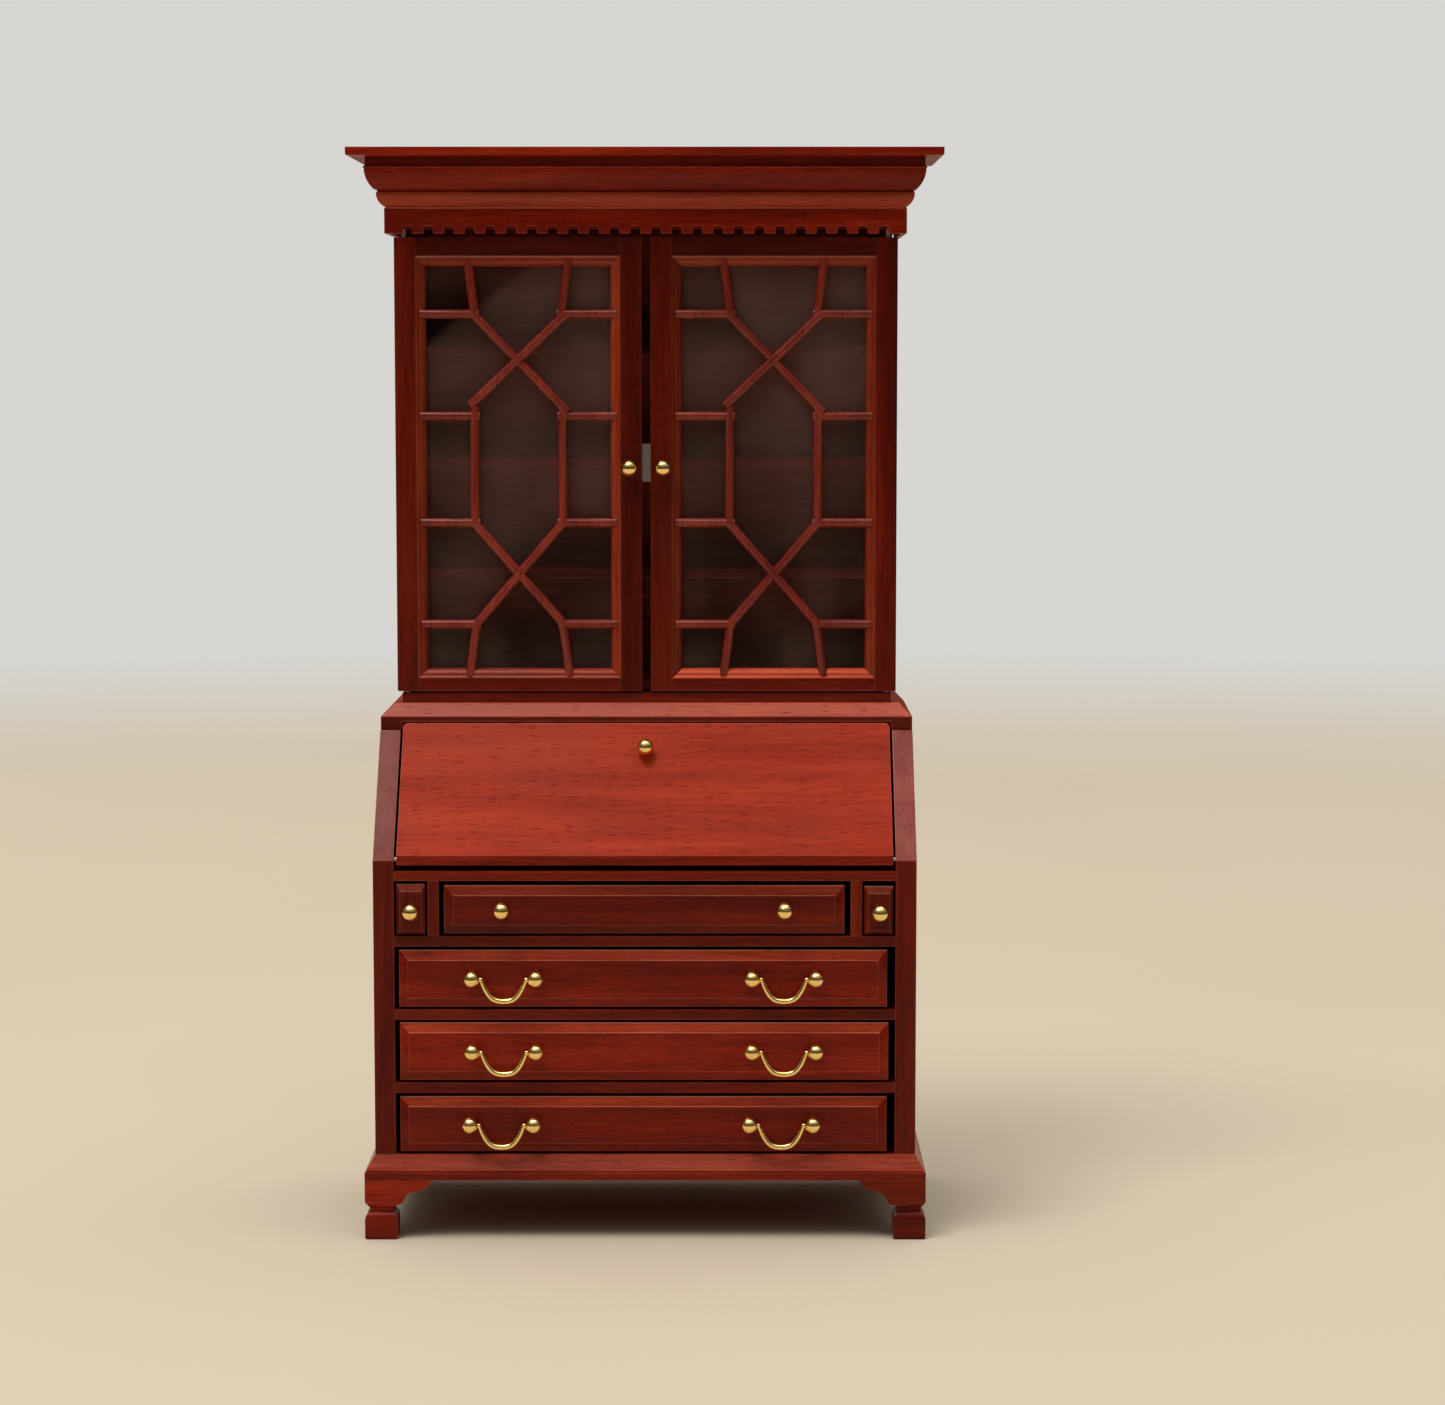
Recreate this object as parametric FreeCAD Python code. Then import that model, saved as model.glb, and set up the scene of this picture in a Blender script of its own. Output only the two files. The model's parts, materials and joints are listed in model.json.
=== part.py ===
import FreeCAD, Part
import math
import os

# Dolls' house secretary bookcase at one-twelfth scale, in millimetres.
# A slant-front desk over four drawers carries a glazed two-door bookcase with a dentil cornice.
#
# Frame: +X to the right of someone facing it, +Y to the back, +Z up, floor at z = 0.
# While a piece is being made, y is the depth behind the plane of the lower case's front edges.
# save() then moves every piece forwards so that the origin is under the middle of the overall box.

V = FreeCAD.Vector
AXIS_X = V(1, 0, 0)
AXIS_Y = V(0, 1, 0)
AXIS_Z = V(0, 0, 1)

# ---------------------------------------------------------------- driving dimensions

# Lower case
case_half_width = 46.75
case_depth = 46.0
side_thickness = 3.6
board_thickness = 1.85
writing_bed_thickness = 1.65
partition_thickness = 2.0
back_thickness = 1.6
foot_height = 10.4
case_floor_top = 14.7
big_drawer_heights = [10.7, 10.95, 10.95]
small_drawer_height = 9.55
lopper_bay_width = 5.75

# Base moulding, as projection from the case and height above the floor
base_projection = 1.75
base_lip_top = 11.75
base_ledge = 0.25
base_ledge_rise = 0.3
base_slope_sag = 0.06

# Feet: a square pad, a narrow neck and a block, turned up in one outline
foot_block_width = 5.6
foot_neck_width = 3.75
foot_sole_round = 0.4
foot_pad_top = 3.0
foot_shoulder_in = 0.17
foot_shoulder_middle = 4.1
foot_neck_bottom = 4.95
foot_neck_top = 5.3
foot_block_bottom = 6.5

# Scrolled bracket beside a front foot: a deep lobe, then a shallow lobe running to its tip
bracket_length = 11.4
bracket_thickness = 2.2
bracket_bottom = 6.0
deep_lobe_width = 1.4
deep_lobe_bottom = 6.4
deep_lobe_top = 7.2
lobe_meeting = 2.3
lobe_meeting_height = 8.2
bracket_tip_round = 0.5
bracket_tip_height = 9.25
bracket_bulge = 0.12

# Slanting fall front
slant_degrees = 53.0
slant_foot_height = 65.9
fall_thickness = 2.4
fall_side_gap = 0.4
fall_lift_above_bed = 1.9
fall_heel_radius = 1.28
fall_heel_start = 222.0
fall_heel_end = 285.0
fall_length = 26.64
fall_corner_radius = 0.8
fall_sweep_clearance = 0.25
fall_knob_height = 20.8
fall_knob_shift = -0.1

# Desk top
desk_top_bottom = 86.8
desk_top_edge = 2.35
desk_top_bevel_height = 2.25
desk_top_bevel_width = 2.2
desk_top_front = 16.65

# Pigeonholes inside the desk
pigeonhole_depth = 12.0
pigeonhole_board = 1.0
pigeonhole_shelf_height = 74.8
upper_divider_count = 5
lower_divider_count = 2

# Bookcase
hutch_half_width = 43.1
hutch_side_thickness = 3.2
plinth_thickness = 1.7
plinth_setback = 0.4
hutch_floor_thickness = 2.0
hutch_top_bottom = 174.2
hutch_top_thickness = 2.0
shelf_thickness = 1.55
shelf_count = 3
shelf_pitch = 19.6
shelf_setback = 0.5

# Doors
door_front = 18.9
door_thickness = 2.6
door_outer_edge = 43.95
door_inner_edge = 0.75
door_bottom = 93.4
door_top = 172.8
door_to_carcass = 0.75
stile_width = 3.7
top_rail_width = 3.2
bottom_rail_width = 2.2
pane_thickness = 0.8
pane_front = 1.6
hinge_back_round = 1.2
hinge_front_round = 0.5
door_knob_inset = 2.2
door_knob_height = 132.7

# Bead round each pane, as distance in from the frame's edge and height above the frame's face
sight_profile = [(0, 0.05), (0.25, 0.2), (0.5, 0.05), (0.6, -0.1), (0.95, 0.0), (1.35, -0.2),
                 (1.65, -0.55), (1.8, -1.0)]

# Glazing bars, measured from the middle of the pane and up from the sight edge
bar_width = 1.6
bar_height = 1.9
bar_over_rise = 0.15
bar_upright_offset = 7.75
bar_vertex_offset = 7.6
bar_splay_offset = 8.8
bar_upright_run_on = 0.9
bar_level_shares = [0.111, 0.365, 0.630, 0.8826]
# How far the ends lap over the bead round the pane, sideways and at top and bottom
bar_side_lap = 1.1
bar_end_lap = 1.3
# Half of a bar's rounded section, as share of the half width and drop from the top
bar_section = [(1.0, 0.71), (0.8, 0.32), (0.48, 0.1), (0.0, 0.0)]

# How far each end of the hand-fitted crossing bars sits out of true, sideways and upwards: the
# end that meets an upright, then the end that meets a splayed bar
upper_over_shifts = ((-0.15, 2.4), (0.3, -0.35))
upper_under_shifts = ((0.3, 1.3), (0.0, -0.3))
lower_over_shifts = ((0.0, -0.2), (0.0, 0.2))
lower_under_shifts = ((0.0, 0.0), (0.0, 0.0))

# Cornice
frieze_half_width = 45.45
frieze_setback = -1.0
dentil_bottom = 173.4
dentil_top = 177.95
dentil_thickness = 1.0
dentil_pitch = 3.6
dentil_notch_width = 1.6
dentil_notch_height = 1.3
dentil_corner_radius = 0.45
front_notch_count = 24
side_notch_count = 7
frieze_board_thickness = 2.0
cap_half_width = 51.5
cap_bottom = 186.6
cap_top = 188.0
cap_lower_round = 0.25
# Small ovolo, groove, large ovolo, bead and fascia, as projection and height above the dentils
crown_profile = [(0.7, 0), ("via", 1.75, 0.8), (2.25, 2.55), (2.05, 2.6), (2.05, 3.0), (2.6, 3.05),
                 ("via", 3.75, 4.65), (4.15, 6.6), (4.3, 6.65), (4.3, 6.95), (4.0, 7.0), (4.0, 8.65)]

# Drawers, listed from the narrow one at the top downwards.  The fronts are fitted by hand, so
# each has its own gaps and stands a little to the left of the middle of its opening.
front_side_gaps = [0.9, 1.05, 0.95, 1.05]
front_top_gaps = [0.75, 0.6, 0.45, 0.6]
front_shifts = [-0.1, -0.32, -0.15, -0.3]
handle_shifts = [-0.27, -0.17, -0.17, -0.64]
front_bottom_gap = 0.38
handle_rise = 0.2
drawer_front_thickness = 2.9
field_proud = 0.35
field_step = 0.18
field_bevel_width = 1.5
field_top_bevel_width = 1.7
field_bevel_drop = 0.7
box_side_thickness = 1.5
box_floor_thickness = 1.0
box_length = 39.5
box_headroom = 1.5
lopper_side_gap = 0.35
lopper_length = 41.0
lopper_bevel_width = 0.6
lopper_top_bevel_width = 1.2
lopper_bottom_gap = 0.25
left_lopper_top_gap = 0.54
right_lopper_top_gap = 0.9
left_lopper_knob_shift = -0.1
right_lopper_knob_shift = 0.1
lopper_knob_drop = 0.25

# Brass fittings
knob_radius = 1.5
knob_standoff = 1.6
knob_stem_radius = 0.55
small_knob_offset = 24.3
handle_centre = 24.1
handle_half_span = 5.5
post_ball_radius = 1.46
post_reach = 1.7
post_collar_radius = 1.0
post_collar_thickness = 0.25
post_hole_radius = 0.42
post_hole_past_centre = 0.15
bail_end_radius = 0.36
bail_middle_radius = 0.5
bail_drop = 3.8
bail_pivot_past_ball = 0.22
bail_fullness = 2.9
bail_path_shares = (0.4, 0.75)

# Pins and the running clearance round them
pin_radius = 0.4
pin_clearance = 0.05
door_pin_inset = 1.7
door_pin_depth = 1.5
fall_pin_depth = 1.4
door_pin_end_gap = 0.3

# Catch plate on the middle shelf
catch_width = 5.0
catch_height = 6.7
catch_thickness = 0.4

# ---------------------------------------------------------------- worked-out places

case_inner = case_half_width - side_thickness
case_back_front = case_depth - back_thickness
slant = math.radians(slant_degrees)

bay_floors = [case_floor_top]
for bay_height in big_drawer_heights:
    bay_floors.append(bay_floors[-1] + bay_height + board_thickness)
small_bay_floor = bay_floors[3]
bed_bottom = small_bay_floor + small_drawer_height
bed_top = bed_bottom + writing_bed_thickness
lopper_bay_inner = case_inner - lopper_bay_width
small_bay_half_width = lopper_bay_inner - partition_thickness

slant_rise = desk_top_bottom - slant_foot_height
slant_run = slant_rise / math.tan(slant)

# The fall turns about pivot, which lies half a thickness behind the slant.
pivot_height = bed_top + fall_lift_above_bed
half_fall = fall_thickness / 2
pivot_along = (pivot_height - slant_foot_height + half_fall * math.cos(slant)) / math.sin(slant)
pivot_depth = pivot_along * math.cos(slant) + half_fall * math.sin(slant)
pivot = V(0, pivot_depth, pivot_height)
fall_half_width = case_inner - fall_side_gap

desk_top_shoulder = desk_top_bottom + desk_top_edge
desk_top_top = desk_top_shoulder + desk_top_bevel_height

plinth_front = door_front + plinth_setback
plinth_top = desk_top_top + plinth_thickness
hutch_floor_top = plinth_top + hutch_floor_thickness
carcass_front = door_front + door_thickness + door_to_carcass
hutch_inner = hutch_half_width - hutch_side_thickness
shelf_front = carcass_front + shelf_setback
shelf_tops = [hutch_floor_top + shelf_pitch * (i + 1) for i in range(shelf_count)]

frieze_front = door_front + frieze_setback
core_half_width = frieze_half_width - dentil_thickness
core_front = frieze_front + dentil_thickness
hutch_top_top = hutch_top_bottom + hutch_top_thickness

door_pin_x = door_outer_edge - door_pin_inset
door_pin_y = door_front + door_thickness / 2
glass_x = (door_inner_edge + stile_width, door_outer_edge - stile_width)
glass_z = (door_bottom + bottom_rail_width, door_top - top_rail_width)
sight_width = sight_profile[-1][0]

field_front = -field_proud
front_reach = field_proud + post_reach + post_ball_radius
centre_depth = (case_depth - front_reach) / 2

LEFT = -1
RIGHT = 1
# Overshoot of cutting tools and joining stubs, and the slack when edges are picked by place
spare = 1.0
slack = 0.01


# ---------------------------------------------------------------- shape helpers

def box(x, y, z):
    """A block between two values on each axis."""
    corner = V(min(x), min(y), min(z))
    return Part.makeBox(max(x) - min(x), max(y) - min(y), max(z) - min(z), corner)


def rod(start, direction, length, radius):
    return Part.makeCylinder(radius, length, start, direction)


def face_from(points, to_vector):
    """A flat face from 2D points; a point marked "via" is the middle of an arc."""
    edges = []
    here = points[0]
    rest = points[1:] + [points[0]]
    i = 0
    while i < len(rest):
        if rest[i][0] == "via":
            middle = rest[i][1:]
            end = rest[i + 1]
            edges.append(Part.Arc(to_vector(*here), to_vector(*middle), to_vector(*end)).toShape())
            i += 1
        else:
            end = rest[i]
            edges.append(Part.makeLine(to_vector(*here), to_vector(*end)))
        here = end
        i += 1
    return Part.Face(Part.Wire(edges))


def moved_point(point, move):
    """Apply move to a profile point, keeping its "via" mark."""
    if point[0] == "via":
        return ("via",) + move(*point[1:])
    return move(*point)


def prism_x(points_yz, x0, x1):
    face = face_from(points_yz, lambda y, z: V(x0, y, z))
    return face.extrude(V(x1 - x0, 0, 0))


def prism_y(points_xz, y0, y1):
    face = face_from(points_xz, lambda x, z: V(x, y0, z))
    return face.extrude(V(0, y1 - y0, 0))


def prism_z(points_xy, z0, z1):
    face = face_from(points_xy, lambda x, y: V(x, y, z0))
    return face.extrude(V(0, 0, z1 - z0))


def mirrored(shape):
    """The same piece on the other side of the middle plane."""
    return shape.mirror(V(0, 0, 0), AXIS_X)


def pair(shape):
    return Part.makeCompound([shape, mirrored(shape)])


def three_sided_run(profile, half_width, front, back):
    """A moulding round the front and both ends of a case, mitred at the front corners.

    profile lists (projection, height) points measured from the case's own faces.
    """
    reach = case_depth
    inside = half_width - spare
    front_zone = prism_z(
        [(-half_width - reach, front - reach), (half_width + reach, front - reach),
         (inside, front + spare), (-inside, front + spare)], 0, cap_top + spare)
    side_zone = prism_z(
        [(half_width + reach, front - reach), (half_width + reach, back),
         (inside, back), (inside, front + spare)], 0, cap_top + spare)
    long = prism_x([moved_point(p, lambda a, z: (front - a, z)) for p in profile],
                   -half_width - reach, half_width + reach)
    deep = prism_y([moved_point(p, lambda a, z: (half_width + a, z)) for p in profile],
                   front - reach, back)
    side = deep.common(side_zone).Solids[0]
    return long.common(front_zone).Solids[0], side, mirrored(side)


def mitred_ring(x, z, profile, front):
    """Four mitred strips just inside the rectangle x by z.

    profile lists (distance in from the rectangle, height out from the plane y = front).
    """
    x0, x1 = x
    z0, z1 = z
    half_short = (x1 - x0) / 2
    middle = (x0 + x1) / 2

    def zone(points):
        return prism_y(points, front - spare, front + door_thickness)

    upright = prism_z([(x0 + a, front - out) for a, out in profile], z0, z1)
    level = prism_x([(front - out, z0 + a) for a, out in profile], x0, x1)
    left_zone = zone([(x0, z0), (middle, z0 + half_short), (middle, z1 - half_short), (x0, z1)])
    low_zone = zone([(x0, z0), (x1, z0), (middle, z0 + half_short)])
    left = upright.common(left_zone).Solids[0]
    low = level.common(low_zone).Solids[0]
    right = left.mirror(V(middle, 0, 0), AXIS_X)
    high = low.mirror(V(0, 0, (z0 + z1) / 2), AXIS_Z)
    return [left, right, low, high]


def level_rectangle(x, y, z):
    """Outline of an upright rectangle, seen from the front, at one depth."""
    return Part.makePolygon([V(x[0], y, z[0]), V(x[1], y, z[0]), V(x[1], y, z[1]), V(x[0], y, z[1]),
                             V(x[0], y, z[0])])


def raised_front(x, z, bevel_width, top_bevel_width, back):
    """A front whose middle field stands proud by a small step, with a bevel round it."""
    edge = field_front + field_bevel_drop
    step = field_front + field_step
    field_x = (x[0] + bevel_width, x[1] - bevel_width)
    field_z = (z[0] + bevel_width, z[1] - top_bevel_width)
    slab = box(x, (edge, back), z)
    bevel = Part.makeLoft([level_rectangle(x, edge, z), level_rectangle(field_x, step, field_z)],
                          True, True)
    field = box(field_x, (field_front, step), field_z)
    return slab.fuse([bevel, field]).removeSplitter()


def ball_knob(base, outward):
    """A little brass knob: a ball on a short stem."""
    ball = Part.makeSphere(knob_radius, base + outward * knob_standoff)
    stem = rod(base, outward, knob_standoff, knob_stem_radius)
    return ball.fuse(stem).removeSplitter()


def save(node, shape):
    """Move a finished piece into the shared frame and write it."""
    moved = shape.copy()
    moved.translate(V(0, -centre_depth, 0))
    if not moved.isValid():
        print("NOT VALID", node)
    moved.exportStep("parts/" + node + ".step")


# ---------------------------------------------------------------- lower case

def case_side():
    """Right-hand side board, with the slanting cheek in front and the fall's pin hole."""
    outline = [(0, foot_height), (0, slant_foot_height), (slant_run, desk_top_bottom),
               (case_depth, desk_top_bottom), (case_depth, foot_height)]
    board = prism_x(outline, case_inner, case_half_width)
    hole = rod(V(case_inner, pivot.y, pivot.z), AXIS_X, fall_pin_depth + pin_clearance,
               pin_radius + pin_clearance)
    return board.cut(hole)


def case_boards():
    """Level boards between the sides; their front edges are the rails between the drawers."""
    across = (-case_inner, case_inner)
    deep = (0, case_back_front)
    floor = box(across, deep, (case_floor_top - board_thickness, case_floor_top))
    dividers = []
    for bay_floor in bay_floors[1:]:
        dividers.append(box(across, deep, (bay_floor - board_thickness, bay_floor)))
    bed = box(across, deep, (bed_bottom, bed_top))
    return floor, Part.makeCompound(dividers), bed


def lopper_partition():
    return box((small_bay_half_width, lopper_bay_inner), (0, case_back_front),
               (small_bay_floor, bed_bottom))


def base_moulding():
    """Moulding round the foot of the case: a lip, a small ledge and a long hollow slope."""
    slope_foot = base_projection - base_ledge
    slope_low = base_lip_top + base_ledge_rise
    slope_middle = (slope_foot / 2 - base_slope_sag, (slope_low + case_floor_top) / 2)
    profile = [(0, foot_height), (base_projection, foot_height), (base_projection, base_lip_top),
               (slope_foot, base_lip_top), (slope_foot, slope_low),
               ("via",) + slope_middle, (0, case_floor_top)]
    return Part.makeCompound(list(three_sided_run(profile, case_half_width, 0, case_depth)))


def foot_outline():
    """Silhouette of a square-turned foot: distance in from its outer face, height."""
    neck_in = (foot_block_width - foot_neck_width) / 2
    w = foot_block_width
    r = foot_sole_round
    k = r * (1 - math.sqrt(0.5))
    s = foot_shoulder_in
    return [(r, 0), ("via", k, k), (0, r), (0, foot_pad_top),
            ("via", s, foot_shoulder_middle), (neck_in, foot_neck_bottom),
            (neck_in, foot_neck_top), (0, foot_block_bottom), (0, foot_height),
            (w, foot_height), (w, foot_block_bottom), (w - neck_in, foot_neck_top),
            (w - neck_in, foot_neck_bottom), ("via", w - s, foot_shoulder_middle),
            (w, foot_pad_top), (w, r), ("via", w - k, k), (w - r, 0)]


def bracket_outline():
    """Scrolled wing beside a foot: distance in from the foot's outer face, height."""
    w = foot_block_width
    lobe = w + deep_lobe_width
    meeting = w + lobe_meeting
    tip = bracket_length - bracket_tip_round
    bulge = bracket_bulge
    return [(w / 2, foot_height), (w / 2, bracket_bottom), (w, bracket_bottom),
            (lobe - bracket_tip_round, deep_lobe_bottom), (lobe, deep_lobe_top),
            ("via", (lobe + meeting) / 2 - bulge, (deep_lobe_top + lobe_meeting_height) / 2 + bulge),
            (meeting, lobe_meeting_height),
            ("via", (meeting + tip) / 2, (lobe_meeting_height + bracket_tip_height) / 2 - bulge),
            (tip, bracket_tip_height),
            ("via", bracket_length - bulge, (bracket_tip_height + foot_height) / 2),
            (bracket_length, foot_height)]


def foot(front_foot):
    """Right-hand foot. A front foot has a bracket both ways, a rear foot along the side only."""
    outer = case_half_width + base_projection
    front = -base_projection if front_foot else case_depth
    inward = 1 if front_foot else -1

    def in_x(a, z):
        return outer - a, z

    def in_y(a, z):
        return front + inward * a, z

    outline = foot_outline()
    deep = (front, front + inward * foot_block_width)
    seen_from_front = prism_y([moved_point(p, in_x) for p in outline], *deep)
    seen_from_side = prism_x([moved_point(p, in_y) for p in outline], outer - foot_block_width, outer)
    block = seen_from_front.common(seen_from_side)
    wing = bracket_outline()
    side_wing = prism_x([moved_point(p, in_y) for p in wing], outer - bracket_thickness, outer)
    whole = block.fuse(side_wing)
    if front_foot:
        front_wing = prism_y([moved_point(p, in_x) for p in wing], front, front + bracket_thickness)
        whole = whole.fuse(front_wing)
    return whole.removeSplitter()


def desk_top():
    """Top board of the desk, bevelled along the front and both ends, hollowed for the fall."""
    low = box((-case_half_width, case_half_width), (desk_top_front, case_depth),
              (desk_top_bottom, desk_top_shoulder))

    def rectangle(inset, z):
        w = case_half_width - inset
        y0 = desk_top_front + inset
        return Part.makePolygon([V(-w, y0, z), V(w, y0, z), V(w, case_depth, z),
                                 V(-w, case_depth, z), V(-w, y0, z)])

    upper = Part.makeLoft([rectangle(0, desk_top_shoulder),
                           rectangle(desk_top_bevel_width, desk_top_top)], True, True)
    sweep = math.hypot(fall_length, half_fall) + fall_sweep_clearance
    room_half_width = case_inner - fall_side_gap / 2
    room = rod(V(-room_half_width, pivot.y, pivot.z), AXIS_X, 2 * room_half_width, sweep)
    return low.fuse(upper).removeSplitter().cut(room)


def pigeonholes():
    """A shelf with upright dividers above and below it, at the back of the desk."""
    front = case_back_front - pigeonhole_depth
    deep = (front, case_back_front)
    shelf_top = pigeonhole_shelf_height + pigeonhole_board
    pieces = [box((-case_inner, case_inner), deep, (pigeonhole_shelf_height, shelf_top))]

    def add_dividers(count, z):
        for i in range(count):
            middle = -case_inner + 2 * case_inner * (i + 1) / (count + 1)
            across = (middle - pigeonhole_board / 2, middle + pigeonhole_board / 2)
            pieces.append(box(across, deep, z))

    add_dividers(upper_divider_count, (shelf_top, desk_top_bottom))
    add_dividers(lower_divider_count, (bed_top, pigeonhole_shelf_height))
    return Part.makeCompound(pieces)


# ---------------------------------------------------------------- fall front

def fall_point(along, outward):
    """A point on the fall's section, from the pivot: up the slant, and out of its face."""
    y = pivot.y + along * math.cos(slant) - outward * math.sin(slant)
    z = pivot.z + along * math.sin(slant) + outward * math.cos(slant)
    return y, z


def heel_point(degrees):
    angle = math.radians(degrees)
    return (pivot.y + fall_heel_radius * math.cos(angle), pivot.z + fall_heel_radius * math.sin(angle))


def fall_panel():
    """The writing board, with its heel bevelled inside the circle that it turns in."""
    section = [fall_point(0, half_fall), heel_point(fall_heel_start), heel_point(fall_heel_end),
               fall_point(0, -half_fall), fall_point(fall_length, -half_fall),
               fall_point(fall_length, half_fall)]
    panel = prism_x(section, -fall_half_width, fall_half_width)
    corners = []
    for edge in panel.Edges:
        across = edge.Vertexes[-1].Point - edge.Vertexes[0].Point
        is_thickness = abs(across.Length - fall_thickness) < slack
        if is_thickness and edge.BoundBox.ZMin > pivot.z + fall_length / 2:
            corners.append(edge)
    panel = panel.makeFillet(fall_corner_radius, corners)
    for x0 in (-fall_half_width, fall_half_width - fall_pin_depth):
        panel = panel.cut(rod(V(x0, pivot.y, pivot.z), AXIS_X, fall_pin_depth, pin_radius))
    return panel


def fall_pins():
    length = fall_pin_depth + fall_side_gap + fall_pin_depth
    start = V(fall_half_width - fall_pin_depth, pivot.y, pivot.z)
    return pair(rod(start, AXIS_X, length, pin_radius))


def fall_knob():
    y, z = fall_point(fall_knob_height, half_fall)
    return ball_knob(V(fall_knob_shift, y, z), V(0, -math.sin(slant), math.cos(slant)))


# ---------------------------------------------------------------- drawers and loppers

def bay(number):
    """Half width, floor height and height of the opening for drawer 1 (the top one) to 4."""
    if number == 1:
        return small_bay_half_width, small_bay_floor, small_drawer_height
    row = len(big_drawer_heights) + 1 - number
    return case_inner, bay_floors[row], big_drawer_heights[row]


def front_sides(number):
    """Left and right edges of a drawer, which its front and its box share."""
    half_width = bay(number)[0] - front_side_gaps[number - 1]
    shift = front_shifts[number - 1]
    return shift - half_width, shift + half_width


def drawer_front(number):
    _, floor, height = bay(number)
    z = (floor + front_bottom_gap, floor + height - front_top_gaps[number - 1])
    return raised_front(front_sides(number), z, field_bevel_width, field_top_bevel_width,
                        field_front + drawer_front_thickness)


def drawer_box(number):
    """Two sides, a back and a floor behind the front, open at the top."""
    _, floor, height = bay(number)
    left, right = front_sides(number)
    front = field_front + drawer_front_thickness
    back = front + box_length
    low = floor + front_bottom_gap
    high = floor + height - box_headroom
    t = box_side_thickness
    sides = [box((x, x + t), (front, back), (low, high)) for x in (left, right - t)]
    end = box((left + t, right - t), (back - t, back), (low, high))
    base = box((left + t, right - t), (front, back - t), (low, low + box_floor_thickness))
    return Part.makeCompound(sides + [end, base])


def front_middle(number):
    """Height of the middle of a drawer front."""
    _, floor, height = bay(number)
    return floor + (height + front_bottom_gap - front_top_gaps[number - 1]) / 2


def handle_height(number):
    return front_middle(number) + handle_rise


def handle_middles(number):
    """Where the left and the right handle of a wide drawer are centred."""
    shift = handle_shifts[number - 1]
    return shift - handle_centre, shift + handle_centre


def small_drawer_knobs():
    z = front_middle(1)
    knob = ball_knob(V(small_knob_offset, field_front, z), V(0, -1, 0))
    knobs = pair(knob)
    knobs.translate(V(handle_shifts[0], 0, 0))
    return knobs


def handle_post(x, z, toward):
    """A ball on a stem, bored on one side for the end of the bail."""
    centre = V(x, field_front - post_reach, z)
    ball = Part.makeSphere(post_ball_radius, centre)
    stem = rod(V(x, field_front, z), V(0, -1, 0), post_reach, knob_stem_radius)
    collar = rod(V(x, field_front, z), V(0, -1, 0), post_collar_thickness, post_collar_radius)
    start = centre - V(toward * post_hole_past_centre, 0, 0)
    hole = rod(start, V(toward, 0, 0), post_ball_radius + spare, post_hole_radius)
    return ball.fuse([stem, collar]).removeSplitter().cut(hole)


def handle_posts(number):
    z = handle_height(number)
    posts = []
    for centre in handle_middles(number):
        posts.append(handle_post(centre - handle_half_span, z, 1))
        posts.append(handle_post(centre + handle_half_span, z, -1))
    return Part.makeCompound(posts)


def bail():
    """A swinging handle: a hanging wire bow, thicker in the middle, with a pivot at each end.

    It is made with the middle of its pivot line at the origin.
    """
    knee = handle_half_span - post_ball_radius - bail_pivot_past_ball

    def bow_point(share):
        return V(knee * share, 0, -bail_drop * (1 - abs(share) ** bail_fullness))

    near, far = bail_path_shares
    path = Part.BSplineCurve()
    path.interpolate([bow_point(share) for share in (-1, -far, -near, 0, near, far, 1)])
    sections = []
    for share, radius in ((-1, bail_end_radius), (0, bail_middle_radius), (1, bail_end_radius)):
        along = path.parameter(bow_point(share))
        circle = Part.Circle(path.value(along), path.tangent(along)[0], radius)
        sections.append(Part.Wire(circle.toShape()))
    curved = Part.Wire(path.toShape()).makePipeShell(sections, True, True)
    pieces = []
    for side in (LEFT, RIGHT):
        knee_point = bow_point(side)
        pieces.append(Part.makeSphere(bail_end_radius, knee_point))
        pieces.append(rod(knee_point, V(side, 0, 0), handle_half_span - knee, bail_end_radius))
    return curved.fuse(pieces).removeSplitter()


def lopper(top_gap):
    """Right-hand pull-out bearer that holds up the open fall."""
    x = (lopper_bay_inner + lopper_side_gap, case_inner - lopper_side_gap)
    z = (small_bay_floor + lopper_bottom_gap, bed_bottom - top_gap)
    return raised_front(x, z, lopper_bevel_width, lopper_top_bevel_width, lopper_length)


def lopper_knob(top_gap, shift):
    """Knob of the right-hand bearer; shift moves it outwards."""
    x = (lopper_bay_inner + case_inner) / 2 + shift
    z = (small_bay_floor + lopper_bottom_gap + bed_bottom - top_gap) / 2 - lopper_knob_drop
    return ball_knob(V(x, field_front, z), V(0, -1, 0))


# ---------------------------------------------------------------- bookcase carcass

def hutch_plinth():
    return box((-hutch_half_width, hutch_half_width), (plinth_front, case_depth),
               (desk_top_top, plinth_top))


def hutch_side():
    return box((hutch_inner, hutch_half_width), (carcass_front, case_depth),
               (plinth_top, hutch_top_bottom))


def hutch_floor():
    return box((-hutch_inner, hutch_inner), (carcass_front, case_back_front),
               (plinth_top, hutch_floor_top))


def hutch_back():
    return box((-hutch_inner, hutch_inner), (case_back_front, case_depth),
               (plinth_top, hutch_top_bottom))


def hutch_top():
    return box((-core_half_width, core_half_width), (core_front, case_depth),
               (hutch_top_bottom, hutch_top_top))


def shelves():
    boards = []
    for top in shelf_tops:
        boards.append(box((-hutch_inner, hutch_inner), (shelf_front, case_back_front),
                          (top - shelf_thickness, top)))
    return Part.makeCompound(boards)


def catch_plate():
    """Steel keeper plate across the front edge of the middle shelf."""
    middle = shelf_tops[1] - shelf_thickness / 2
    return box((-catch_width / 2, catch_width / 2), (shelf_front - catch_thickness, shelf_front),
               (middle - catch_height / 2, middle + catch_height / 2))


# ---------------------------------------------------------------- cornice

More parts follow.
